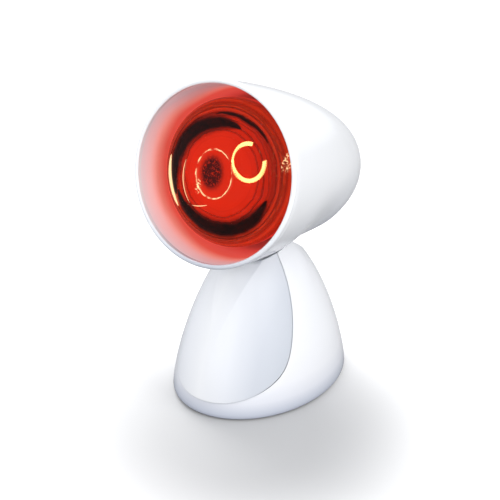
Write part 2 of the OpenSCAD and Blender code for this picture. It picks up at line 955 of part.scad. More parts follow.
module filament() {
    color("#ffb060")
        on_lamp_axis()
            translate([0, -filament_up, bulb_inset + filament_depth])
                rotate(-15)
                    rotate_extrude(angle = 290)
                        translate([filament_ring_r, 0])
                            circle(r = filament_r, $fn = 16);
}

// Two lead wires and three hooks that hold the filament ring in front of the stem
module filament_supports() {
    front = bulb_inset + filament_depth + filament_r;
    back = stem_front + 3;
    color(steel)
        on_lamp_axis()
            for (a = [-12, 60, 130, 200, 272])
                let (x = filament_ring_r * cos(a), y = filament_ring_r * sin(a) - filament_up)
                    union() {
                        translate([x, y, front])
                            cylinder(r = support_wire_r, h = back - front);
                        translate([0, 0, back])
                            rotate([0, 90, atan2(y, x)])
                                translate([0, 0, stem_tip_r + tight_gap])
                                    cylinder(r = support_wire_r, h = norm([x, y]) - stem_tip_r);
                    }
}

module bulb_cap() {
    turns = 7;
    pitch = 2.8;
    crest = [for (i = [0:turns * 4]) [cap_r - 0.45 + 0.45 * cos(90 * i), cap_h + 3 + pitch * i / 4]];
    color(steel)
        on_lamp_axis()
            difference() {
                rotate_extrude()
                    polygon(concat(
                        [[0, cap_h], [cap_r - 0.6, cap_h]],
                        crest,
                        [[cap_r - 3, cap_end - 1.5], [0, cap_end - 1.5]]));
                translate([0, 0, cap_h - 1])
                    cylinder(r = cap_r - 2.2, h = cap_len - 4);
            }
}

module cap_insulator() {
    color("#1c1c1e")
        on_lamp_axis()
            translate([0, 0, cap_end - 1.5])
                cylinder(r1 = cap_r - 3.2, r2 = 5.5, h = 1.8);
}

module cap_contact() {
    color(steel)
        on_lamp_axis()
            translate([0, 0, cap_end + 0.3])
                cylinder(r1 = 4.8, r2 = 3.6, h = 1.2);
}

// ---- wiring and mains side ----

// Straight down the knuckle's channel and round to the tilt axis
function lead_corner() = [for (a = [180:22.5:270])
    [lead_turn_r * (1 + cos(a)), pivot_back, pivot_z + lead_turn_r * (1 + sin(a))]];

module head_lead() {
    inside = [for (p = head_lead_route) lamp_place(p[0], p[1])];
    above = [[0, pivot_back + 1, pivot_z + knuckle_r + 12], [0, pivot_back, pivot_z + knuckle_r + 4]];
    path = concat(
        smooth(concat(inside, above), 3),
        lead_corner(),
        [[lead_meet_x, pivot_back, pivot_z]]);
    color(lead_white)
        swept_tube(path, lead_r, [0, cos(head_aim), -sin(head_aim)], [1, 0, 0]);
}

module base_lead() {
    start = [[lead_meet_x, pivot_back, pivot_z], [cheek_out + 1.5, pivot_back, pivot_z]];
    turn = [[cheek_out + 4.5, pivot_back + 0.5, pivot_z - 1.5]];
    path = concat([start[0]], smooth(concat([start[1]], turn, base_lead_route), 3));
    color(lead_white)
        swept_tube(path, lead_r, [1, 0, 0], [0, 0, -1]);
}

module terminal_block() {
    color("#f0efe9")
        difference() {
            union() {
                translate([block_x - block_w / 2, block_y - block_d / 2, block_z])
                    cube([block_w, block_d, block_h]);
                translate([block_x, block_y, plate_top])
                    cylinder(r = 3, h = block_z - plate_top + eps);
            }
            for (s = [-1, 1])
                translate([block_x + s * 5, block_y - 3, block_z + 4])
                    cylinder(r = 1.6 + tight_gap, h = block_h);
            translate([block_x, block_y, plate_top - 1])
                cylinder(r = pilot_r, h = block_h);
        }
}

module terminal_screws() {
    color(steel)
        for (s = [-1, 1])
            translate([block_x + s * 5, block_y - 3, block_z + 4])
                difference() {
                    cylinder(r = 1.6, h = block_h - 5);
                    translate([-2, -0.3, block_h - 6])
                        cube([4, 0.6, 2]);
                }
}

module terminal_fixing_screw() {
    color(steel)
        translate([block_x, block_y, plate_z + screw_sink])
            mirror([0, 0, 1])
                pan_screw(screw_r, 9, screw_head_r, screw_head_t);
}

module switch_body() {
    color(switch_grey)
        on_switch()
            difference() {
                union() {
                    translate([-bezel_half_w, -bezel_half_l, -bezel_sink])
                        cube([2 * bezel_half_w, 2 * bezel_half_l, bezel_t]);
                    translate([-body_half_w, -body_half_l, -bezel_sink - body_d])
                        cube([2 * body_half_w, 2 * body_half_l, body_d + eps]);
                }
                translate([-rocker_half_w - fit_gap, -rocker_r - fit_gap, rocker_pivot - 6])
                    cube([2 * (rocker_half_w + fit_gap), 2 * (rocker_r + fit_gap), 20]);
                translate([-body_half_w - 1, 0, rocker_pivot])
                    rotate([0, 90, 0])
                        cylinder(r = 1 + run_gap, h = 2 * body_half_w + 2);
            }
}

module switch_rocker() {
    face_z = 1.4 - rocker_pivot;
    color(switch_grey)
        on_switch()
            translate([0, 0, rocker_pivot])
                rotate([rocker_throw, 0, 0]) {
                    rotate([90, 0, 90])
                        translate([0, 0, -rocker_half_w])
                            linear_extrude(2 * rocker_half_w)
                                intersection() {
                                    circle(r = rocker_r);
                                    polygon([
                                        [0, face_z - 1.4],
                                        [rocker_r, face_z - 1.4 + rocker_r * tan(rocker_throw)],
                                        [rocker_r, -3.5],
                                        [-rocker_r, -3.5],
                                        [-rocker_r, face_z - 1.4 + rocker_r * tan(rocker_throw)]
                                    ]);
                                }
                    rotate([0, 90, 0])
                        cylinder(r = 1, h = 2 * body_half_w - 0.6, center = true);
                }
}

module switch_tabs() {
    color(brass)
        on_switch()
            for (s = [-1, 1])
                translate([-2.4, s * 5 - 0.4, -bezel_sink - body_d - 7])
                    cube([4.8, 0.8, 7]);
}

// End of a switch tab, in world terms
function tab_end(s) = let (y = s * 5, z = -bezel_sink - body_d - 7) [
    0,
    switch_wall_y + z * cos(switch_lean) + y * sin(switch_lean),
    switch_z + z * sin(switch_lean) - y * cos(switch_lean)
];

module switch_leads() {
    out = [0, -cos(switch_lean), -sin(switch_lean)];
    color(lead_white)
        for (s = [-1, 1]) {
            goal = [block_x + s * 5, block_y + block_d / 2, block_z + 4];
            path = smooth([tab_end(s), tab_end(s) + 5 * out, goal + [0, 7, 2], goal], 4);
            swept_tube(path, wire_r, out, [0, -1, 0]);
        }
}

module cord_bush() {
    y = dome_depth(inlet_z);
    color(switch_grey)
        translate([0, y - 1.5, inlet_z])
            rotate([90, 0, 0])
                difference() {
                    union() {
                        translate([0, 0, -2.5])
                            cylinder(r = inlet_r + 2, h = 2.5);
                        cylinder(r = inlet_r, h = 6.5);
                    }
                    translate([0, 0, -3])
                        cylinder(r = inlet_bore_r, h = 12);
                }
}

base_shell();
front_cover();
bottom_plate();
anti_slip_pad();
plate_screws();
hinge_yoke();
yoke_screws();
tilt_screw();
spring_washer();
hinge_bush();
click_ball();
click_spring();
head_shell();
lampholder_body();
lampholder_sleeve();
lampholder_contact();
holder_strap();
holder_screws();
strap_screws();
bulb_lens();
bulb_reflector();
bulb_stem();
filament();
filament_supports();
bulb_cap();
cap_insulator();
cap_contact();
head_lead();
base_lead();
terminal_block();
terminal_screws();
terminal_fixing_screw();
switch_body();
switch_rocker();
switch_tabs();
switch_leads();
cord_bush();
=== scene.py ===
"""Looks of a table infrared lamp: a glossy white bell-shaped head with a glowing red bulb on a domed base."""
import json
import math

import bmesh
import bpy
from mathutils import Matrix, Vector


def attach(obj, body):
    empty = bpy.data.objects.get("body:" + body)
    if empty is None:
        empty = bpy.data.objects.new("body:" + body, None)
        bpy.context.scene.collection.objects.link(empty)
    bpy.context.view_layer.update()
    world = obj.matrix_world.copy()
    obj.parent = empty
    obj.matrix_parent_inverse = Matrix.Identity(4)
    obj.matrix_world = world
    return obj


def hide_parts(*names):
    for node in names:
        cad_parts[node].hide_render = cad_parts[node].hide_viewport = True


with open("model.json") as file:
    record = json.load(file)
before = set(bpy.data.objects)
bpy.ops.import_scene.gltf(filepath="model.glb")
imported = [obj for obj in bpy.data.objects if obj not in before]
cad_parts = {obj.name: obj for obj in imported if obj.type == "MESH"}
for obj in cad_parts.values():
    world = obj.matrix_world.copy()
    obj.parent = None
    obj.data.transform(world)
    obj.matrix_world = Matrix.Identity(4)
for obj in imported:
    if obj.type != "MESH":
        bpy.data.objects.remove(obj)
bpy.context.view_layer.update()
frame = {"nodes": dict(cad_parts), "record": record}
cad = frame["nodes"]
scene = bpy.context.scene
MM = 0.001

# ---- sizes in millimetres, as the solids have them, apart from a narrower SEAM_GAP ----
DOME_HALF_W, DOME_HALF_D, DOME_H = 55.3, 72.1, 112.3
DOME_DRAW, DOME_SHOULDER = 1.4, 1.78
DOME_WALL, DOME_LIFT, FOOT_ROUND = 2.5, 1.0, 1.4
COVER_HALF_W, COVER_WIDE_Z, COVER_DROP, COVER_RISE = 42.0, 36.0, 23.7, 76.8
COVER_PROUD, COVER_SINK, COVER_WALL = 2.2, 0.9, 2.4
COVER_BACK_Y, SEAM_GAP = -1.0, 0.07
RIM_R, HEAD_LEN, HEAD_TAPER, HEAD_SHOULDER, HEAD_WALL = 59.0, 158.0, 7.8, 3.31, 2.5
BEAD_R, BEAD_STEP = 1.6, 0.15
RIM_Z, RIM_FRONT, HEAD_AIM = 167.2, 56.3, 15.0
PIVOT_BACK, PIVOT_Z = 6.0, 84.0
HEAD_GAP = 0.7
TILT_LOW, TILT_HIGH = -10, 30
BULB_R, LENS_H, SEAM_H, NECK_H, NECK_R = 47.5, 8.0, 23.0, 97.0, 17.0
LENS_FLAT, GLASS_WALL = 2.6, 1.4
KNUCKLE_R, KNUCKLE_W = 10, 24

LAMP = (Matrix.Translation((0, -RIM_FRONT * MM, RIM_Z * MM))
        @ Matrix.Rotation(math.radians(-90 - HEAD_AIM), 4, "X"))


# ---- camera, at the photograph's viewpoint ----
camera_data = bpy.data.cameras.new("camera")
camera = bpy.data.objects.new("camera", camera_data)
scene.collection.objects.link(camera)
camera.location = (0.3970, -0.6390, 0.4489)
look = Vector((-0.00789, -0.0010, 0.09175)) - camera.location
camera.rotation_euler = look.to_track_quat("-Z", "Y").to_euler()
camera_data.sensor_width = 36
camera_data.lens = 88.5
scene.camera = camera


# ---- form lines ----
def dome_line(z, grow=0.0):
    """Half width of the base dome at height z."""
    share = max(0.0, 1 - (max(z, 0.0) / (DOME_H + grow)) ** DOME_DRAW)
    return (DOME_HALF_W + grow) * share ** (1 / DOME_SHOULDER)


def head_line(h, grow=0.0):
    """Radius of the head at depth h behind its rim."""
    length = HEAD_LEN + grow
    share = max(0.0, 1 - (max(h, 0.0) / length) ** 2)
    return (RIM_R + grow - HEAD_TAPER * h / length) * share ** (1 / HEAD_SHOULDER)


def reflector_line(h):
    """Outer radius of the bulb's reflector at depth h."""
    t = min(max((h - SEAM_H) / (NECK_H - SEAM_H), 0.0), 1.0)
    return NECK_R + (BULB_R - NECK_R) * (math.cos(math.pi * t ** 1.15) + 1) / 2


def egg_outline(grow=0.0, steps=28):
    """Outline of the front cover as (x, z): from its lowest point to the right, over the top and back."""
    side = []
    for i in range(steps + 1):
        a = math.radians(90 * i / steps)
        side.append(((COVER_HALF_W + grow) * math.sin(a) ** (2 / 2.5),
                     COVER_WIDE_Z - (COVER_DROP + grow) * math.cos(a) ** (2 / 2.5)))
    for i in range(1, steps * 2 + 1):
        a = math.radians(90 * i / (steps * 2))
        side.append(((COVER_HALF_W + grow) * max(0.0, math.cos(a)) ** (2 / 1.6),
                     COVER_WIDE_Z + (COVER_RISE + grow) * math.sin(a) ** (2 / 1.6)))
    return side + [(-x, z) for x, z in side[-2:0:-1]]


# ---- mesh helpers ----
def finish_mesh(bm, name, place=None, recalc=True):
    """Turns a bmesh in millimetres into an object in metres with its place in its mesh."""
    bmesh.ops.remove_doubles(bm, verts=bm.verts, dist=1e-4)
    if recalc:
        bmesh.ops.recalc_face_normals(bm, faces=bm.faces)
    bmesh.ops.transform(bm, matrix=Matrix.Scale(MM, 4), verts=bm.verts)
    if place is not None:
        bmesh.ops.transform(bm, matrix=place, verts=bm.verts)
    mesh = bpy.data.meshes.new(name)
    bm.to_mesh(mesh)
    bm.free()
    for face in mesh.polygons:
        face.use_smooth = True
    piece = bpy.data.objects.new(name, mesh)
    scene.collection.objects.link(piece)
    return piece


def spun(profile, steps=192, closed=True):
    """A bmesh of a profile of (radius, height) turned once round Z."""
    bm = bmesh.new()
    line = [bm.verts.new((r, 0, h)) for r, h in profile]
    edges = [bm.edges.new(pair) for pair in zip(line, line[1:])]
    if closed:
        edges.append(bm.edges.new((line[-1], line[0])))
    bmesh.ops.spin(bm, geom=line + edges, cent=(0, 0, 0), axis=(0, 0, 1), dvec=(0, 0, 0),
                   angle=2 * math.pi, steps=steps, use_merge=True, use_duplicate=False)
    bmesh.ops.remove_doubles(bm, verts=bm.verts, dist=1e-4)
    return bm


def cut(piece, cutter, keep=False):
    """Takes the cutter's volume out of the piece."""
    tool = piece.modifiers.new("cut", "BOOLEAN")
    tool.operation = "DIFFERENCE"
    tool.solver = "EXACT"
    tool.object = cutter
    apply_modifiers(piece)
    if not keep:
        bpy.data.objects.remove(cutter)


def apply_modifiers(piece):
    graph = bpy.context.evaluated_depsgraph_get()
    made = bpy.data.meshes.new_from_object(piece.evaluated_get(graph))
    piece.modifiers.clear()
    piece.data = made


def soften(piece, angle=35):
    """Smooth shading with sharp edges where the surface really turns."""
    for face in piece.data.polygons:
        face.use_smooth = True
    piece.data.set_sharp_from_angle(angle=math.radians(angle))


def dress(piece, material, body, nodes=()):
    """Gives a new piece its material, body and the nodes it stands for."""
    piece.data.materials.clear()
    piece.data.materials.append(material)
    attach(piece, body)
    if nodes:
        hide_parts(*nodes)
    return piece


# ---- materials ----
def srgb(code):
    """Linear colour of an sRGB hex value."""
    parts = [int(code[i:i + 2], 16) / 255 for i in (1, 3, 5)]
    return tuple(c / 12.92 if c <= 0.04045 else ((c + 0.055) / 1.055) ** 2.4 for c in parts) + (1.0,)


def add_node(tree, kind, values=None, links=None, **settings):
    """Adds a node with its settings, its socket values and its links."""
    made = tree.nodes.new(kind)
    for key, value in settings.items():
        setattr(made, key, value)
    for socket, value in (values or {}).items():
        made.inputs[socket].default_value = value
    for socket, source in (links or {}).items():
        tree.links.new(source, made.inputs[socket])
    return made


def new_material(name, **surface):
    """A material with one Principled shader whose constants sit on its own sockets."""
    material = bpy.data.materials.new(name)
    material.use_nodes = True
    tree = material.node_tree
    shader = tree.nodes["Principled BSDF"]
    for socket, value in surface.items():
        shader.inputs[socket.replace("_", " ")].default_value = value
    return material, tree, shader


def object_point(tree):
    return add_node(tree, "ShaderNodeTexCoord").outputs["Object"]


def lamp_point(tree):
    """Object coordinates in the lamp's own frame: X to the right, Y down, Z the depth behind the rim."""
    back = LAMP.inverted()
    return add_node(tree, "ShaderNodeMapping",
                    values={"Location": back.to_translation(), "Rotation": back.to_euler()},
                    links={"Vector": object_point(tree)}).outputs["Vector"]


def fine_bump(tree, shader, grain_mm, strength, distance_mm=0.02, detail=3.0):
    """A bump of the given grain size, for moulding texture or blasting."""
    grain = add_node(tree, "ShaderNodeTexNoise", values={"Scale": 1 / (grain_mm * MM), "Detail": detail},
                     links={"Vector": object_point(tree)})
    bump = add_node(tree, "ShaderNodeBump", values={"Strength": strength, "Distance": distance_mm * MM},
                    links={"Height": grain.outputs["Fac"]})
    tree.links.new(bump.outputs["Normal"], shader.inputs["Normal"])
    return grain


def ramp(tree, source, stops, smooth=True):
    """A colour ramp through (place, linear colour) stops."""
    made = add_node(tree, "ShaderNodeValToRGB", links={"Fac": source})
    made.color_ramp.interpolation = "EASE" if smooth else "LINEAR"
    bars = made.color_ramp.elements
    while len(bars) > 1:
        bars.remove(bars[-1])
    bars[0].position, bars[0].color = stops[0]
    for place, colour in stops[1:]:
        bars.new(place).color = colour
    return made.outputs["Color"]


# Glossy moulded ABS: bright white with a cool cast, polished mould, faint orange peel at about 8 mm.
# Where an axis is given, the colour changes along it through (millimetres, colour) stops, which paint shade
# onto the white.
def white_abs(name, colour, roughness=0.16, axis=None, stops=()):
    material, tree, shader = new_material(name, Base_Color=srgb(colour), Roughness=roughness, IOR=1.53,
                                          Coat_Weight=0.15, Coat_Roughness=0.08)
    peel = add_node(tree, "ShaderNodeTexNoise", values={"Scale": 120.0, "Detail": 2.0},
                    links={"Vector": object_point(tree)})
    bump = add_node(tree, "ShaderNodeBump", values={"Strength": 0.04, "Distance": 0.0001},
                    links={"Height": peel.outputs["Fac"]})
    tree.links.new(bump.outputs["Normal"], shader.inputs["Normal"])
    if axis:
        low, high = stops[0][0], stops[-1][0]
        along = add_node(tree, "ShaderNodeSeparateXYZ", links={"Vector": object_point(tree)}).outputs[axis]
        share = add_node(tree, "ShaderNodeMapRange", values={"From Min": low * MM, "From Max": high * MM},
                         links={"Value": along}).outputs["Result"]
        tree.links.new(ramp(tree, share, [((at - low) / (high - low), srgb(code)) for at, code in stops],
                            smooth=False),
                       shader.inputs["Base Color"])
    return material


shell_white = white_abs("moulded_white_abs", "#eff0f3")
# painted shade: the cover grows darker towards its left and right edges, most on the right
cover_painted_shade_white = white_abs("moulded_white_abs_cover_painted_shade", "#ebecf0", 0.2, "X",
                        [(-42, "#d2d5dc"), (-26, "#e3e5ea"), (-4, "#eeeff1"), (14, "#e0e2e7"),
                         (30, "#cbcfd7"), (42, "#c6cbd3")])
# painted shade: the head grows darker towards its underside
head_painted_shade_white = white_abs("moulded_white_abs_head_painted_shade", "#f1f2f4", 0.16, "Z",
                       [(93, "#70758a"), (103, "#8b90a1"), (113, "#c6cad3"), (127, "#e2e4e9"),
                        (150, "#f1f2f4")])
# painted shade: the dome grows darker towards its foot
dome_painted_shade_white = white_abs("moulded_white_abs_dome_painted_shade", "#eff0f3", 0.16, "Z",
                       [(0, "#979cad"), (4, "#bfc4d0"), (12, "#dfe1e8"), (22, "#ebecf0"), (40, "#eff0f3")])
knuckle_white = white_abs("satin_white_abs", "#dcdee2", 0.4)


# ---- base dome ----
def foot_profile():
    """Rounded lower edge of the shell, from its inner corner outwards."""
    wide = dome_line(DOME_LIFT + FOOT_ROUND)
    return [(wide - FOOT_ROUND * (1 - math.cos(math.radians(a))),
             DOME_LIFT + FOOT_ROUND * (1 + math.sin(math.radians(a)))) for a in range(-90, 0, 15)]


def head_room(angle):
    """The space that the head's belly takes up at one click position, with its gap."""
    depths = [20 + 2.5 * i for i in range(45)]
    profile = [(0, depths[0])] + [(head_line(h, HEAD_GAP), h) for h in depths] + [(0, depths[-1])]
    pivot = Matrix.Translation((0, PIVOT_BACK * MM, PIVOT_Z * MM))
    turn = pivot @ Matrix.Rotation(math.radians(-angle), 4, "X") @ pivot.inverted()
    return finish_mesh(spun(profile, 160, closed=False), "head_room", turn @ LAMP)


def make_base_dome():
    top = 108.0
    foot = DOME_LIFT + FOOT_ROUND
    heights = [foot + (top - foot) * math.sin(math.radians(90 * i / 72)) for i in range(73)]
    outer = foot_profile() + [(dome_line(z), z) for z in heights]
    inner = [(dome_line(z, -DOME_WALL), min(z, top - DOME_WALL)) for z in reversed(heights[::3])]
    bm = spun(outer + inner + [(dome_line(DOME_LIFT, -DOME_WALL), DOME_LIFT)], 224)
    bmesh.ops.scale(bm, vec=(1, DOME_HALF_D / DOME_HALF_W, 1), verts=bm.verts)
    return finish_mesh(bm, "base_dome")


def prism(outline, y0, y1, name):
    """A block with the given (x, z) outline that runs from depth y0 to y1."""
    bm = bmesh.new()
    face = bm.faces.new([bm.verts.new((x, y0, z)) for x, z in outline])
    grown = bmesh.ops.extrude_face_region(bm, geom=[face])
    bmesh.ops.translate(bm, vec=(0, y1 - y0, 0),
                        verts=[g for g in grown["geom"] if isinstance(g, bmesh.types.BMVert)])
    return finish_mesh(bm, name)


base_dome = make_base_dome()
cut(base_dome, prism(egg_outline(SEAM_GAP), COVER_BACK_Y + SEAM_GAP, -90, "egg_room"))
rooms = [head_room(a) for a in (TILT_LOW, 10, TILT_HIGH)]
for room in rooms:
    cut(base_dome, room, keep=True)


# ---- front cover ----
def cover_surface(x, z):
    """Point and outward normal of the front cover's surface at (x, z)."""
    def depth(px, pz):
        wide = dome_line(pz) * (DOME_HALF_W - COVER_SINK) / DOME_HALF_W
        deep = dome_line(pz) * (DOME_HALF_D + COVER_PROUD) / DOME_HALF_W
        return deep * math.sqrt(max(0.0, 1 - (px / wide) ** 2))
    e = 0.05
    y = depth(x, z)
    sx = (depth(x + e, z) - depth(x - e, z)) / (2 * e)
    sz = (depth(x, z + e) - depth(x, z - e)) / (2 * e)
    return Vector((x, -y, z)), Vector((-sx, -1, -sz)).normalized()


def make_front_cover():
    top_z, round_r = 103.0, 0.6
    outline = [(x, z) for x, z in egg_outline(0, 40) if z <= top_z]
    count = len(outline)
    middle = Vector((0, 45))
    # (share of the way out, inset from the outline, sink along the normal)
    rows = [(s, 0.0, 0.0) for s in (0.06, 0.14, 0.24, 0.34, 0.44, 0.54, 0.64, 0.72, 0.8, 0.87, 0.92, 0.95)]
    rows += [(1.0, round_r * (1 - math.sin(math.radians(a))), round_r * (1 - math.cos(math.radians(a))))
             for a in range(0, 91, 15)]
    rows += [(1.0, 0.0, COVER_WALL)]
    rows += [(s, 0.0, COVER_WALL) for s in (0.95, 0.8, 0.6, 0.4, 0.2, 0.06)]
    bm = bmesh.new()
    line = [bm.verts.new((k + 1, 0, 0)) for k in range(len(rows))]
    edges = [bm.edges.new(pair) for pair in zip(line, line[1:])]
    bmesh.ops.spin(bm, geom=line + edges, cent=(0, 0, 0), axis=(0, 0, 1), dvec=(0, 0, 0),
                   angle=2 * math.pi, steps=count, use_merge=True, use_duplicate=False)
    for vert in bm.verts:
        row = round(math.hypot(vert.co.x, vert.co.y)) - 1
        k = round(math.atan2(vert.co.y, vert.co.x) / (2 * math.pi) * count) % count
        share, inset, sink = rows[row]
        here = Vector(outline[k])
        along = Vector(outline[(k + 1) % count]) - Vector(outline[k - 1])
        out = Vector((along.y, -along.x)).normalized()
        flat = middle + (here - middle) * share - out * inset
        point, normal = cover_surface(flat.x, flat.y)
        vert.co = point - normal * sink
    bmesh.ops.holes_fill(bm, edges=[e for e in bm.edges if e.is_boundary])
    return finish_mesh(bm, "front_cover_shell")


front_cover = make_front_cover()
for room in rooms:
    cut(front_cover, room)
soften(front_cover, 40)


# ---- head ----
SCOOP_FROM, SCOOP_TO, SCOOP_SIDE, SCOOP_DEEP = 34, 108, 48, 3.4


def scoop(angle, h):
    """How far the belly's flanks are drawn in, at an angle from straight down and a depth h."""
    if h < SCOOP_FROM or h > SCOOP_TO:
        return 0.0
    side = math.cos(math.radians(min(90.0, abs(abs(angle) - SCOOP_SIDE) * 2.0))) ** 2
    along = math.sin(math.pi * (h - SCOOP_FROM) / (SCOOP_TO - SCOOP_FROM)) ** 1.6
    return SCOOP_DEEP * side * along


def make_lamp_head():
    steps = 96
    shares = [math.sin(math.radians(90 * i / steps)) for i in range(1, steps + 1)]
    outer = [(head_line(h), h) for h in (HEAD_LEN * s for s in shares) if h > 1.4]
    inner = [(head_line(h, -HEAD_WALL), h) for h in ((HEAD_LEN - HEAD_WALL) * s for s in shares) if h > 1.2]
    bead = []
    for a in range(-150, 61, 15):
        t = math.radians(a)
        bead.append((RIM_R - BEAD_R + BEAD_STEP + BEAD_R * math.cos(t), BEAD_R * math.sin(t)))
    profile = inner[::-1] + bead + outer
    bm = spun(profile, 224, closed=False)
    for vert in bm.verts:
        r = math.hypot(vert.co.x, vert.co.y)
        if r < 20:
            continue
        down = math.degrees(math.atan2(vert.co.x, vert.co.y))
        drawn = scoop(down, vert.co.z)
        if drawn:
            vert.co.x *= (r - drawn) / r
            vert.co.y *= (r - drawn) / r
    return finish_mesh(bm, "lamp_head_shell", LAMP)


def slot_block(turn):
    """A round-ended block that cuts one cooling slot under the head's rear end."""
    bm = bmesh.new()
    bmesh.ops.create_cube(bm, size=1.0)
    bmesh.ops.scale(bm, vec=(3.2, 30, 15), verts=bm.verts)
    long_edges = [e for e in bm.edges if abs((e.verts[0].co - e.verts[1].co).normalized().y) > 0.9]
    bmesh.ops.bevel(bm, geom=long_edges, offset=1.55, offset_type="OFFSET", segments=6, profile=0.5,
                    affect="EDGES", clamp_overlap=False, material=-1)
    bmesh.ops.translate(bm, vec=(0, 32, HEAD_LEN - 14.5), verts=bm.verts)
    bmesh.ops.rotate(bm, cent=(0, 0, 0), matrix=Matrix.Rotation(math.radians(turn), 3, "Z"), verts=bm.verts)
    return finish_mesh(bm, "slot_block", LAMP)


lamp_head = make_lamp_head()
for turn in (-17, 0, 17):
    cut(lamp_head, slot_block(turn))
soften(lamp_head)


# The knuckle under the head, with its bores, which turns in the yoke; its click dimples aren't drawn
def make_knuckle():
    bm = bmesh.new()
    bmesh.ops.create_cone(bm, cap_ends=True, cap_tris=False, segments=64, radius1=KNUCKLE_R,
                          radius2=KNUCKLE_R, depth=KNUCKLE_W)
    bmesh.ops.rotate(bm, cent=(0, 0, 0), matrix=Matrix.Rotation(math.radians(90), 3, "Y"), verts=bm.verts)
    rims = [e for e in bm.edges if len(e.link_faces) == 2 and max(len(f.verts) for f in e.link_faces) > 4]
    bmesh.ops.bevel(bm, geom=rims, offset=0.6, offset_type="OFFSET", segments=3, profile=0.5, affect="EDGES",
                    material=-1)
    bmesh.ops.translate(bm, vec=(0, PIVOT_BACK, PIVOT_Z), verts=bm.verts)
    knuckle = finish_mesh(bm, "hinge_knuckle")
    bm = bmesh.new()
    bmesh.ops.create_cube(bm, size=1.0)
    bmesh.ops.scale(bm, vec=(23.9, 19.9, 16.5), verts=bm.verts)
    upright = [e for e in bm.edges if abs((e.verts[0].co - e.verts[1].co).normalized().z) > 0.9]
    bmesh.ops.bevel(bm, geom=upright, offset=0.8, offset_type="OFFSET", segments=3, profile=0.5,
                    affect="EDGES", material=-1)
    bmesh.ops.translate(bm, vec=(0, PIVOT_BACK, PIVOT_Z + 8.25), verts=bm.verts)
    block = finish_mesh(bm, "knuckle_block")
    join = knuckle.modifiers.new("join", "BOOLEAN")
    join.operation = "UNION"
    join.solver = "EXACT"
    join.object = block
    apply_modifiers(knuckle)
    bpy.data.objects.remove(block)
    # radius, start, end and direction of the screw's bore, the bush's bore, the lead's bore and its way up
    for r, x0, x1, axis in ((2.53, -14, -2.5, "X"), (5.53, 4.5, 14, "X"), (3.5, 0, 5.5, "X"),
                            (3.5, 0, 30, "Z")):
        bm = bmesh.new()
        bmesh.ops.create_cone(bm, cap_ends=True, cap_tris=False, segments=48, radius1=r, radius2=r,
                              depth=x1 - x0)
        bmesh.ops.translate(bm, vec=(0, 0, (x0 + x1) / 2), verts=bm.verts)
        if axis == "X":
            bmesh.ops.rotate(bm, cent=(0, 0, 0), matrix=Matrix.Rotation(math.radians(90), 3, "Y"),
                             verts=bm.verts)
        bmesh.ops.translate(bm, vec=(0, PIVOT_BACK, PIVOT_Z), verts=bm.verts)
        cut(knuckle, finish_mesh(bm, "bore"))
    soften(knuckle)
    return knuckle


knuckle = make_knuckle()


# ---- bulb ----
def lens_line(grow):
    """Half outline of the front glass, drawn in by grow, from its middle to the seam."""
    wide, front = BULB_R - grow, LENS_H + grow
    line = []
    for i in range(61):
        share = math.sin(math.radians(1.5 * i))
        out = wide * share
        # a faint pressed ring with a groove inside it
        ring = 0.3 * math.exp(-((out - 41.5) / 0.8) ** 2) - 0.25 * math.exp(-((out - 39.0) / 1.0) ** 2)
        line.append((out, front + (SEAM_H - front) * (1 - (1 - share ** LENS_FLAT) ** (1 / 3)) - ring))
    return line


def make_lens():
    profile = lens_line(0) + lens_line(GLASS_WALL)[::-1]
    return finish_mesh(spun(profile, 192, closed=False), "bulb_front_glass", LAMP)


def make_reflector():
    depths = [SEAM_H + (NECK_H - SEAM_H) * i / 48 for i in range(49)]
    outer = [(reflector_line(h), h) for h in depths]
    inner = [(r - GLASS_WALL, h) for r, h in outer]
    neck = [(NECK_R, NECK_H + 4), (14.4, 102.5), (12.1, 106)]
    profile = outer + neck + [(10.7, 106), (13.0, 102.3), (NECK_R - GLASS_WALL, NECK_H + 4)] + inner[::-1]
    return finish_mesh(spun(profile, 160), "bulb_reflector_glass", LAMP)


lens = make_lens()
soften(lens, 50)
reflector = make_reflector()
soften(reflector, 40)


# ---- rear wall: switch opening and cord inlet ----
SWITCH_Z, SWITCH_LEAN = 36.0, 19.0
SWITCH_WALL_Y = dome_line(SWITCH_Z) * DOME_HALF_D / DOME_HALF_W
ON_SWITCH = (Matrix.Translation((0, SWITCH_WALL_Y * MM, SWITCH_Z * MM))
             @ Matrix.Rotation(math.radians(SWITCH_LEAN - 90), 4, "X"))
INLET_Z = 15.0
INLET_WALL_Y = dome_line(INLET_Z) * DOME_HALF_D / DOME_HALF_W


def rounded_block(half_w, half_l, low, high, corner, place, name, edge=0.0):
    """A block with rounded upright corners and, where asked, a softened top edge."""
    bm = bmesh.new()
    bmesh.ops.create_cube(bm, size=1.0)
    bmesh.ops.scale(bm, vec=(2 * half_w, 2 * half_l, high - low), verts=bm.verts)
    bmesh.ops.translate(bm, vec=(0, 0, (low + high) / 2), verts=bm.verts)
    upright = [e for e in bm.edges if abs((e.verts[0].co - e.verts[1].co).normalized().z) > 0.9]
    bmesh.ops.bevel(bm, geom=upright, offset=corner, offset_type="OFFSET", segments=5, profile=0.5,
                    affect="EDGES", material=-1)
    if edge:
        top = [e for e in bm.edges if min(v.co.z for v in e.verts) > high - 1e-4]
        bmesh.ops.bevel(bm, geom=top, offset=edge, offset_type="OFFSET", segments=3, profile=0.5,
                        affect="EDGES", material=-1)
    return finish_mesh(bm, name, place)


cut(base_dome, rounded_block(7.8, 11.8, -1.2, 9, 1.2, ON_SWITCH, "bezel_room"))
cut(base_dome, rounded_block(6.7, 10.5, -20, 9, 0.6, ON_SWITCH, "switch_room"))
AT_INLET = (Matrix.Translation((0, INLET_WALL_Y * MM, INLET_Z * MM))
            @ Matrix.Rotation(math.radians(-90), 4, "X"))
INLET_ROOM = [(0, -12), (5.03, -12), (5.03, -1.5), (7.3, -1.5), (7.3, 9), (0, 9)]
cut(base_dome, finish_mesh(spun(INLET_ROOM, 64, closed=False), "inlet_room", AT_INLET))
soften(base_dome)


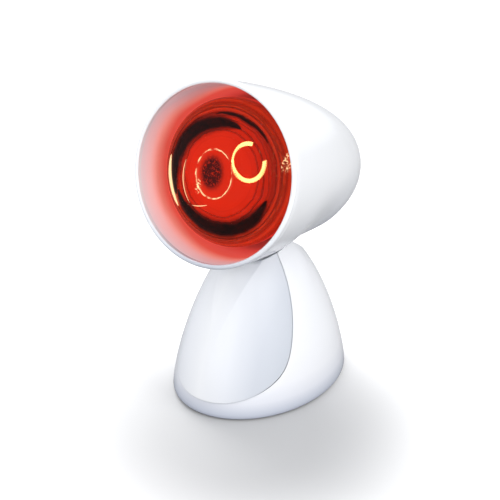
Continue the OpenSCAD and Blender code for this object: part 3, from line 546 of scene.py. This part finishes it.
# ---- posts inside the base that take the screws of the yoke and of the bottom plate ----
def make_base_posts():
    bm = bmesh.new()
    # four posts for the yoke's screws, then four for the plate's: place, radius, foot and top
    for x, y, r, low, high in ([(sx * 23.5, 9 + sy * 12, 3.6, 42, 68.5) for sx in (-1, 1) for sy in (-1, 1)]
                               + [(sx * 41, sy * 22, 4.0, 4, 30) for sx in (-1, 1) for sy in (-1, 1)]):
        made = bmesh.ops.create_cone(bm, cap_ends=True, cap_tris=False, segments=32,
                                     radius1=r * 1.06, radius2=r, depth=high - low)
        bmesh.ops.translate(bm, vec=(x, y, (low + high) / 2), verts=made["verts"])
    return finish_mesh(bm, "base_posts")


# ---- glowing coil ----
def make_filament():
    """A coil of tungsten wire that follows the node's ring, drawn at 1.4 mm a turn so that it shows."""
    turns, ring_r, up, depth = 44, 12.0, 5.5, 41.0
    start, sweep, slimmest = -15, 290, 205
    curve = bpy.data.curves.new("filament_path", "CURVE")
    curve.dimensions = "3D"
    curve.bevel_depth = 0.42 * MM
    curve.bevel_resolution = 1
    line = curve.splines.new("POLY")
    count = turns * 12
    line.points.add(count)
    for i in range(count + 1):
        turned = sweep * i / count
        a = math.radians(start + turned)
        b = 2 * math.pi * i / 12
        coil_r = 0.4 + 0.65 * (1 - math.exp(-((turned - slimmest) / 38) ** 2))
        r = ring_r + coil_r * math.cos(b)
        spot = LAMP @ (Vector((r * math.cos(a), r * math.sin(a) - up, depth + coil_r * math.sin(b))) * MM)
        line.points[i].co = (*spot, 1)
    holder = bpy.data.objects.new("filament_path", curve)
    scene.collection.objects.link(holder)
    graph = bpy.context.evaluated_depsgraph_get()
    mesh = bpy.data.meshes.new_from_object(holder.evaluated_get(graph))
    bpy.data.objects.remove(holder)
    coil = bpy.data.objects.new("filament_coil", mesh)
    scene.collection.objects.link(coil)
    soften(coil, 60)
    return coil


filament = make_filament()


# ---- painted reflections on the bulb and painted red light in the shade, in the lamp's own millimetres ----
def lamp_mm(tree):
    """Lamp coordinates in millimetres: X right, Y up, Z depth behind the rim."""
    return add_node(tree, "ShaderNodeVectorMath", operation="MULTIPLY", values={1: (1000, -1000, 1000)},
                    links={0: lamp_point(tree)}).outputs["Vector"]


def shaken(tree, point, grain_mm, amount_mm):
    """The point, pushed about by noise, for edges that aren't drawn with compasses."""
    noise = add_node(tree, "ShaderNodeTexNoise", values={"Scale": 1 / grain_mm, "Detail": 2.0},
                     links={"Vector": point})
    push = add_node(tree, "ShaderNodeVectorMath", operation="MULTIPLY_ADD",
                    values={1: (amount_mm,) * 3, 2: (-amount_mm / 2,) * 3}, links={0: noise.outputs["Color"]})
    return add_node(tree, "ShaderNodeVectorMath", operation="ADD",
                    links={0: point, 1: push.outputs["Vector"]}).outputs["Vector"]


def smooth_step(tree, value, low, high):
    """0 at low, 1 at high, with soft ends; low may be the larger."""
    return add_node(tree, "ShaderNodeMapRange", interpolation_type="SMOOTHSTEP",
                    values={"From Min": low, "From Max": high}, links={"Value": value}).outputs["Result"]


def times(tree, a, b):
    return add_node(tree, "ShaderNodeMath", operation="MULTIPLY", links={0: a, 1: b}).outputs["Value"]


def arc(tree, point, centre, radii, aim_deg, half_deg, half_width, soft=0.6):
    """A crescent along an ellipse, widest at its aim and running out to nothing at both ends."""
    rel = add_node(tree, "ShaderNodeVectorMath", operation="MULTIPLY_ADD",
                   values={1: (1 / radii[0], 1 / radii[1], 0),
                           2: (-centre[0] / radii[0], -centre[1] / radii[1], 0)},
                   links={0: point}).outputs["Vector"]
    length = add_node(tree, "ShaderNodeVectorMath", operation="LENGTH", links={0: rel}).outputs["Value"]
    off = add_node(tree, "ShaderNodeMath", operation="SUBTRACT", values={1: 1.0},
                   links={0: length}).outputs["Value"]
    off = add_node(tree, "ShaderNodeMath", operation="ABSOLUTE", links={0: off}).outputs["Value"]
    unit = add_node(tree, "ShaderNodeVectorMath", operation="NORMALIZE", links={0: rel}).outputs["Vector"]
    aim = (math.cos(math.radians(aim_deg)), math.sin(math.radians(aim_deg)), 0)
    cosine = add_node(tree, "ShaderNodeVectorMath", operation="DOT_PRODUCT", values={1: aim},
                      links={0: unit}).outputs["Value"]
    taper = add_node(tree, "ShaderNodeMapRange",
                     values={"From Min": math.cos(math.radians(half_deg)), "From Max": 1.0,
                             "To Min": 0.0, "To Max": 1.0},
                     links={"Value": cosine}).outputs["Result"]
    taper = add_node(tree, "ShaderNodeMath", operation="POWER", values={1: 0.6},
                     links={0: taper}).outputs["Value"]
    wide = add_node(tree, "ShaderNodeMath", operation="MULTIPLY_ADD",
                    values={1: half_width / max(radii), 2: 1e-5}, links={0: taper}).outputs["Value"]
    share = add_node(tree, "ShaderNodeMath", operation="DIVIDE", links={0: off, 1: wide}).outputs["Value"]
    return smooth_step(tree, share, 1.0, 1.0 - soft)


def patch(tree, point, centre, radii, soft=0.3):
    """A filled ellipse with a soft edge."""
    rel = add_node(tree, "ShaderNodeVectorMath", operation="MULTIPLY_ADD",
                   values={1: (1 / radii[0], 1 / radii[1], 0),
                           2: (-centre[0] / radii[0], -centre[1] / radii[1], 0)},
                   links={0: point}).outputs["Vector"]
    length = add_node(tree, "ShaderNodeVectorMath", operation="LENGTH", links={0: rel}).outputs["Value"]
    return smooth_step(tree, length, 1.0, 1.0 - soft)


def blend_colour(tree, factor, a, b):
    """Colour a where the factor is 0 and b where it is 1; each is a socket or a linear colour."""
    mix = add_node(tree, "ShaderNodeMix", data_type="RGBA", links={0: factor})
    for slot, colour in ((6, a), (7, b)):
        if isinstance(colour, tuple):
            mix.inputs[slot].default_value = colour
        else:
            tree.links.new(colour, mix.inputs[slot])
    return mix.outputs[2]


def most(tree, *values):
    """The largest of several masks."""
    total = values[0]
    for value in values[1:]:
        total = add_node(tree, "ShaderNodeMath", operation="MAXIMUM",
                         links={0: total, 1: value}).outputs["Value"]
    return total


def axis_distance(tree, point):
    flat = add_node(tree, "ShaderNodeVectorMath", operation="MULTIPLY", values={1: (1, 1, 0)},
                    links={0: point})
    return add_node(tree, "ShaderNodeVectorMath", operation="LENGTH",
                    links={0: flat.outputs["Vector"]}).outputs["Value"]


# Ruby-flashed blown glass: glossy and deep red; the coil's and the mirror's images in it are painted
# reflections: dark crescents, a dark veined patch, bright rings, a streak and glints
def ruby_glass():
    material, tree, shader = new_material("ruby_flashed_glass", Roughness=0.03, IOR=1.5,
                                          Specular_IOR_Level=0.1)
    point = lamp_mm(tree)
    loose = shaken(tree, point, 9.0, 3.0)
    fine = shaken(tree, point, 2.5, 1.2)
    # painted reflections: dark crescents at the upper left, at the bottom and, thin, at the upper right
    painted_dark_reflections = most(tree,
                     arc(tree, loose, (-1, -4), (35.5, 35.5), 140, 68, 9.6, 0.7),
                     arc(tree, loose, (0, 0), (35.6, 35.2), -84, 68, 8.6, 0.7),
                     arc(tree, loose, (0, 0), (37.8, 37.8), 74, 34, 1.9, 0.8))
    # the dark painted reflections vary a little in strength
    dark_reflection_variation = add_node(tree, "ShaderNodeTexNoise", values={"Scale": 1 / 6.0, "Detail": 3.0, "Distortion": 1.5},
                     links={"Vector": point}).outputs["Fac"]
    dark_reflection_variation = add_node(tree, "ShaderNodeMapRange",
                     values={"From Min": 0.35, "From Max": 0.6, "To Min": 0.97, "To Max": 1.0},
                     links={"Value": dark_reflection_variation}).outputs["Result"]
    painted_dark_reflections = times(tree, painted_dark_reflections, dark_reflection_variation)
    # painted reflection: a dark veined patch just left of the middle
    reflection_veins = add_node(tree, "ShaderNodeTexNoise", values={"Scale": 1 / 1.6, "Detail": 4.0, "Distortion": 1.2},
                     links={"Vector": point}).outputs["Fac"]
    shade = times(tree, patch(tree, fine, (-6, -0.5), (10.5, 13.5), 0.45),
                  smooth_step(tree, reflection_veins, 0.26, 0.5))
    distance = axis_distance(tree, point)
    share = add_node(tree, "ShaderNodeMath", operation="DIVIDE", values={1: 48.0},
                     links={0: distance}).outputs["Value"]
    band = ramp(tree, share,
                [(0.0, srgb("#c4240f")), (0.45, srgb("#c4240f")), (0.7, srgb("#b0200e")),
                 (0.8, srgb("#8f1c0e")), (0.84, srgb("#c03018")), (0.862, srgb("#741409")),
                 (0.885, srgb("#c23a20")), (0.92, srgb("#8a1c0e")), (0.955, srgb("#c2361d")),
                 (0.985, srgb("#a62813")), (1.0, srgb("#64110a"))], smooth=False)
    # darker rings at random radii, fading in between 18 and 32 mm from the middle
    dark_rings = add_node(tree, "ShaderNodeTexNoise", noise_dimensions="1D", values={"Scale": 0.5, "Detail": 3.0},
                     links={"W": axis_distance(tree, loose)}).outputs["Fac"]
    dark_rings = times(tree, smooth_step(tree, dark_rings, 0.46, 0.66), smooth_step(tree, distance, 18.0, 32.0))
    dark_rings = add_node(tree, "ShaderNodeMath", operation="MULTIPLY", values={1: 0.6},
                     links={0: dark_rings}).outputs["Value"]
    band = blend_colour(tree, dark_rings, band, srgb("#560f08"))
    tone = blend_colour(tree, painted_dark_reflections, band, srgb("#120403"))
    tone = blend_colour(tree, shade, tone, srgb("#3c0b09"))
    ring_noise = add_node(tree, "ShaderNodeTexNoise", values={"Scale": 1 / 5.0, "Detail": 3.0},
                          links={"Vector": point}).outputs["Fac"]
    ring_noise = smooth_step(tree, ring_noise, 0.35, 0.6)
    # painted reflections of the coil: a bright broken ring round the dark patch and two thin bright arcs
    lines = most(tree,
                 times(tree, arc(tree, fine, (-4.5, -1.1), (13.4, 15.6), 215, 115, 0.8), ring_noise),
                 times(tree, arc(tree, fine, (-4.5, -1.1), (13.4, 15.6), 100, 60, 0.6), ring_noise),
                 times(tree, arc(tree, fine, (-4.5, -1.1), (13.4, 15.6), -10, 60, 0.45), ring_noise),
                 arc(tree, point, (0, -4), (28, 28), 193, 30, 0.4),
                 arc(tree, point, (-20, 10), (34.2, 34.2), -77, 10, 0.35))
    # painted reflection: a bright streak near the left edge
    streak = arc(tree, point, (0, 0), (41, 41), 198, 24, 2.1, 0.5)
    # painted glints: bright specks near the right edge and left of the middle
    spots = smooth_step(tree, add_node(tree, "ShaderNodeTexNoise", values={"Scale": 1 / 1.5, "Detail": 3.0},
                                       links={"Vector": point}).outputs["Fac"], 0.5, 0.6)
    painted_glints = times(tree, most(tree, patch(tree, point, (42, 15), (2.8, 7.5), 0.3),
                              patch(tree, point, (-15, -11), (2.6, 5.5), 0.4)), spots)
    # all painted highlights, in warm white colour and glow
    bright = most(tree, lines, streak, painted_glints)
    tree.links.new(blend_colour(tree, bright, tone, srgb("#ffd9a0")), shader.inputs["Base Color"])
    tree.links.new(blend_colour(tree, bright, tone, srgb("#ffe2a8")), shader.inputs["Emission Color"])
    cover = add_node(tree, "ShaderNodeMath", operation="MULTIPLY_ADD", values={1: 0.26, 2: 0.72},
                     links={0: most(tree, painted_dark_reflections, shade, bright)}).outputs["Value"]
    tree.links.new(cover, shader.inputs["Alpha"])
    shader.inputs["Emission Strength"].default_value = 0.3
    return material


# Pressed glass with a vacuum-coated aluminium mirror inside; the red light in the mirror is painted into its
# colour and glow: brightest part way in, darker towards the neck, with darker streaks
def mirror_glass():
    material, tree, shader = new_material("aluminised_glass", Metallic=0.85, Roughness=0.2)
    point = lamp_mm(tree)
    depth = add_node(tree, "ShaderNodeSeparateXYZ", links={"Vector": point}).outputs["Z"]
    share = add_node(tree, "ShaderNodeMath", operation="DIVIDE", values={1: 110.0},
                     links={0: depth}).outputs["Value"]
    red = ramp(tree, share, [(0.2, srgb("#b52310")), (0.35, srgb("#d93418")), (0.5, srgb("#e8401f")),
                             (0.62, srgb("#d2301a")), (0.8, srgb("#c22a18")), (0.9, srgb("#8a1a10")),
                             (1.0, srgb("#4a0f0a"))])
    # darker streaks in the painted reflection
    dark_reflection_streaks = add_node(tree, "ShaderNodeTexNoise",
                       values={"Scale": 1 / 11.0, "Detail": 3.0, "Distortion": 0.8},
                       links={"Vector": point}).outputs["Fac"]
    tone = blend_colour(tree, smooth_step(tree, dark_reflection_streaks, 0.45, 0.75), red, srgb("#7e150b"))
    tree.links.new(tone, shader.inputs["Base Color"])
    tree.links.new(tone, shader.inputs["Emission Color"])
    shader.inputs["Emission Strength"].default_value = 0.45
    return material


# White-hot tungsten coil: a pale yellow that blooms to white
def glowing_tungsten():
    return new_material("glowing_tungsten", Base_Color=srgb("#8a8378"), Metallic=1.0, Roughness=0.4,
                        Emission_Color=srgb("#ffc777"), Emission_Strength=28.0)[0]


# Inside of the shade: satin white ABS with the ruby front's red light painted into its colour and glow, pale
# at the rim, deep red behind the bulb and near black deepest in
def lit_shade_white():
    material, tree, shader = new_material("satin_white_abs_red_lit", Roughness=0.35, IOR=1.5)
    point = lamp_mm(tree)
    spot = add_node(tree, "ShaderNodeSeparateXYZ", links={"Vector": shaken(tree, point, 30.0, 5.0)})
    # painted light: the upper wall is painted paler, with less of the red light
    lift = add_node(tree, "ShaderNodeMath", operation="MULTIPLY", values={1: -14.0},
                    links={0: smooth_step(tree, spot.outputs["Y"], 25.0, 56.0)}).outputs["Value"]
    depth = add_node(tree, "ShaderNodeMath", operation="ADD",
                     links={0: spot.outputs["Z"], 1: lift}).outputs["Value"]
    deepest = 120.0
    share = add_node(tree, "ShaderNodeMath", operation="DIVIDE", values={1: deepest},
                     links={0: depth}).outputs["Value"]
    # depth in millimetres, colour to the eye, how much of it is the bulb's own light
    stops = [(0, "#e4d4d8", 0.25), (4, "#e4cbce", 0.3), (12, "#ecbbb9", 0.45), (20, "#f39c8c", 0.6),
             (27, "#e66a5b", 0.65), (36, "#e0645a", 0.75), (46, "#d04e47", 0.85), (55, "#a83a35", 0.95),
             (70, "#902a25", 1.0), (85, "#5a1d1b", 1.0), (115, "#200a09", 1.0)]
    tree.links.new(ramp(tree, share, [(h / deepest, srgb(code)) for h, code, lit in stops], smooth=False),
                   shader.inputs["Base Color"])
    glow = [(h / deepest, tuple(c * lit for c in srgb(code)[:3]) + (1.0,)) for h, code, lit in stops]
    tree.links.new(ramp(tree, share, glow, smooth=False), shader.inputs["Emission Color"])
    shader.inputs["Emission Strength"].default_value = 0.6
    return material


# ---- plain working materials of the smaller parts ----
# Zinc-plated pressed steel: bright grey with a fine rolled grain of about 0.4 mm
def zinc_steel():
    material, tree, shader = new_material("zinc_plated_steel", Base_Color=srgb("#c3c6ca"), Metallic=1.0,
                                          Roughness=0.32)
    grain = fine_bump(tree, shader, 0.4, 0.12)
    tree.links.new(ramp(tree, grain.outputs["Fac"], [(0.35, srgb("#b4b8bd")), (0.65, srgb("#cdd0d4"))]),
                   shader.inputs["Base Color"])
    return material


# Pressed brass: warm yellow metal, slightly dulled by handling
def pressed_brass():
    material, tree, shader = new_material("pressed_brass", Metallic=1.0, Roughness=0.3)
    grain = fine_bump(tree, shader, 0.6, 0.1)
    tree.links.new(ramp(tree, grain.outputs["Fac"], [(0.3, srgb("#a98546")), (0.7, srgb("#cfab62"))]),
                   shader.inputs["Base Color"])
    return material


# Glazed porcelain of the lampholder: creamy white under a glassy coat
def glazed_porcelain():
    material, tree, shader = new_material("glazed_porcelain", Roughness=0.22, IOR=1.52, Coat_Weight=0.6,
                                          Coat_Roughness=0.05)
    grain = fine_bump(tree, shader, 5.0, 0.05)
    tree.links.new(ramp(tree, grain.outputs["Fac"], [(0.3, srgb("#e6e0d3")), (0.7, srgb("#f0ebe1"))]),
                   shader.inputs["Base Color"])
    return material


# Moulded nitrile foam rubber of the anti-slip pad: matt black-grey with a 0.6 mm pebble
def foam_rubber():
    material, tree, shader = new_material("foam_rubber", Roughness=0.9, Sheen_Weight=0.15,
                                          Sheen_Roughness=0.5)
    grain = fine_bump(tree, shader, 0.6, 0.5, 0.08)
    tree.links.new(ramp(tree, grain.outputs["Fac"], [(0.3, srgb("#1d1e20")), (0.7, srgb("#303235"))]),
                   shader.inputs["Base Color"])
    return material


# Spark-eroded grey ABS of the switch and the inlet bush: satin dark grey with a 0.35 mm grain
def grey_abs():
    material, tree, shader = new_material("textured_grey_abs", Roughness=0.48, IOR=1.53)
    grain = fine_bump(tree, shader, 0.35, 0.25, 0.03)
    tree.links.new(ramp(tree, grain.outputs["Fac"], [(0.3, srgb("#33363a")), (0.7, srgb("#41454a"))]),
                   shader.inputs["Base Color"])
    return material


# Matt, slightly waxy white plastics: moulded polypropylene and polyamide, and the leads' extruded PVC
def waxy_white(name, dark, light):
    material, tree, shader = new_material(name, Roughness=0.5, IOR=1.49)
    grain = fine_bump(tree, shader, 0.8, 0.15, 0.03)
    tree.links.new(ramp(tree, grain.outputs["Fac"], [(0.3, srgb(dark)), (0.7, srgb(light))]),
                   shader.inputs["Base Color"])
    return material


# Clear pressed glass of the stem: water-white, seen only past the coil
def clear_glass():
    material, tree, shader = new_material("clear_pressed_glass", Base_Color=srgb("#f4f8f8"), Roughness=0.04,
                                          IOR=1.5, Transmission_Weight=1.0)
    fine_bump(tree, shader, 6.0, 0.06)
    return material


# Black vitrified glass in the end of the screw cap: glossy, with small pits
def black_glass():
    material, tree, shader = new_material("black_vitrite_glass", Roughness=0.15, IOR=1.55)
    grain = fine_bump(tree, shader, 1.2, 0.2)
    tree.links.new(ramp(tree, grain.outputs["Fac"], [(0.3, srgb("#121214")), (0.7, srgb("#1f2023"))]),
                   shader.inputs["Base Color"])
    return material


MATERIAL_OF_SLOT = {
    "housing_white": shell_white,
    "hinge_white": waxy_white("moulded_polypropylene", "#d5d7db", "#e4e6e9"),
    "pad_black": foam_rubber(),
    "steel": zinc_steel(),
    "ceramic": glazed_porcelain(),
    "brass": pressed_brass(),
    "ruby_glass": ruby_glass(),
    "reflector": mirror_glass(),
    "clear_glass": clear_glass(),
    "tungsten": glowing_tungsten(),
    "cap_metal": zinc_steel(),
    "black_glass": black_glass(),
    "lead_sheath": waxy_white("extruded_pvc", "#d6d6d8", "#e6e6e8"),
    "block_plastic": waxy_white("moulded_polyamide", "#e2dfd3", "#efece2"),
    "grey_plastic": grey_abs(),
}


# ---- dressing the pieces ----
def keep_nodes():
    """Every node's solid gets the material of its slot; the solids that are replaced below don't show."""
    for part in frame["record"]["subparts"]:
        node, slot = part["node"], part["material_slot"]
        cad[node].data.materials.clear()
        cad[node].data.materials.append(MATERIAL_OF_SLOT[slot])


keep_nodes()
dress(base_dome, dome_painted_shade_white, "base", ("base_shell",))
dress(front_cover, cover_painted_shade_white, "base", ("front_cover",))
dress(make_base_posts(), shell_white, "base", ("base_shell",))
dress(lamp_head, head_painted_shade_white, "head", ("head_shell",))
dress(knuckle, knuckle_white, "head", ("head_shell",))
dress(lens, MATERIAL_OF_SLOT["ruby_glass"], "head", ("bulb_lens",))
dress(reflector, MATERIAL_OF_SLOT["reflector"], "head", ("bulb_reflector",))
dress(filament, MATERIAL_OF_SLOT["tungsten"], "head", ("filament",))


def line_the_shade():
    """The head's inner wall gets the material of the red-lit inside."""
    lamp_head.data.materials.append(lit_shade_white())
    back = LAMP.inverted()
    for face in lamp_head.data.polygons:
        spot = back @ face.center / MM
        r = math.hypot(spot.x, spot.y)
        wall = head_line(spot.z) - r
        facing = back.to_3x3() @ face.normal
        outward = (facing.x * spot.x + facing.y * spot.y) / max(1e-6, r)
        if spot.z > 0.9 and wall > 1.3 and (outward < -0.3 or facing.z < -0.7):
            face.material_index = 1


line_the_shade()


# ---- floor, light and background ----
def make_floor():
    bm = bmesh.new()
    bmesh.ops.create_grid(bm, x_segments=1, y_segments=1, size=4000)
    floor = finish_mesh(bm, "studio_floor", recalc=False)
    material, tree, shader = new_material("painted_studio_floor", Roughness=0.9)
    path = add_node(tree, "ShaderNodeLightPath")
    # light bounces off a dark floor, reflections see a quarter of the pale one, and the eye all of it
    mirrored = add_node(tree, "ShaderNodeMath", operation="MULTIPLY", values={1: 0.25},
                        links={0: path.outputs["Is Glossy Ray"]})
    seen = most(tree, path.outputs["Is Camera Ray"], mirrored.outputs["Value"],
                path.outputs["Is Transmission Ray"])
    tree.links.new(blend_colour(tree, seen, (0.12, 0.123, 0.132, 1), (0.52, 0.52, 0.523, 1)),
                   shader.inputs["Base Color"])
    # painted shadow: the floor's own glow is weakest within 4 cm of a point at the base's front right and
    # full beyond 17 cm
    away = add_node(tree, "ShaderNodeVectorMath", operation="DISTANCE", values={1: (0.035, -0.075, 0)},
                    links={0: object_point(tree)}).outputs["Value"]
    lift = add_node(tree, "ShaderNodeMath", operation="MULTIPLY_ADD", values={1: 0.6, 2: 0.03},
                    links={0: smooth_step(tree, away, 0.04, 0.17)}).outputs["Value"]
    shader.inputs["Emission Color"].default_value = (1, 1, 1, 1)
    tree.links.new(times(tree, seen, lift), shader.inputs["Emission Strength"])
    floor.data.materials.append(material)


make_floor()


def make_world():
    world = bpy.data.worlds.new("studio")
    scene.world = world
    world.use_nodes = True
    tree = world.node_tree
    tree.nodes.clear()
    out = tree.nodes.new("ShaderNodeOutputWorld")
    point = add_node(tree, "ShaderNodeTexCoord").outputs["Generated"]
    height = add_node(tree, "ShaderNodeSeparateXYZ", links={"Vector": point})
    side = add_node(tree, "ShaderNodeMath", operation="MULTIPLY_ADD", values={1: 0.5, 2: 0.5},
                    links={0: height.outputs["X"]}).outputs["Value"]
    sky = ramp(tree, side, [(0.0, (0.74, 0.755, 0.79, 1)), (0.5, (0.72, 0.735, 0.76, 1)),
                            (1.0, (0.70, 0.705, 0.72, 1))])
    ambient = add_node(tree, "ShaderNodeBackground", values={"Strength": 1.0}, links={"Color": sky})
    white = add_node(tree, "ShaderNodeBackground", values={"Color": (1, 1, 1, 1), "Strength": 1.0})
    path = add_node(tree, "ShaderNodeLightPath")
    seen = most(tree, path.outputs["Is Camera Ray"], path.outputs["Is Transmission Ray"])
    mix = add_node(tree, "ShaderNodeMixShader", links={0: seen, 1: ambient.outputs[0], 2: white.outputs[0]})
    tree.links.new(mix.outputs[0], out.inputs["Surface"])


make_world()


def add_softbox(name, place, aim, size, watts, colour):
    data = bpy.data.lights.new(name, "AREA")
    data.shape = "RECTANGLE"
    data.size, data.size_y = size
    data.energy = watts
    data.color = colour
    lamp = bpy.data.objects.new(name, data)
    scene.collection.objects.link(lamp)
    lamp.location = place
    lamp.rotation_euler = (Vector(aim) - Vector(place)).to_track_quat("-Z", "Y").to_euler()
    return lamp


# only the top box shows in reflections
add_softbox("top_box", (-0.7, 0.5, 1.3), (0, 0, 0.1), (0.7, 0.7), 15.0, (1.0, 0.995, 0.99))
add_softbox("front_box", (-0.1, -1.4, 0.5), (0, 0, 0.1), (1.2, 0.8), 10.6,
            (0.99, 0.995, 1.0)).visible_glossy = False
add_softbox("side_box", (1.3, -0.1, 0.6), (0, 0, 0.12), (0.9, 0.9), 12.0,
            (1.0, 1.0, 1.0)).visible_glossy = False

scene.view_settings.view_transform = "Standard"
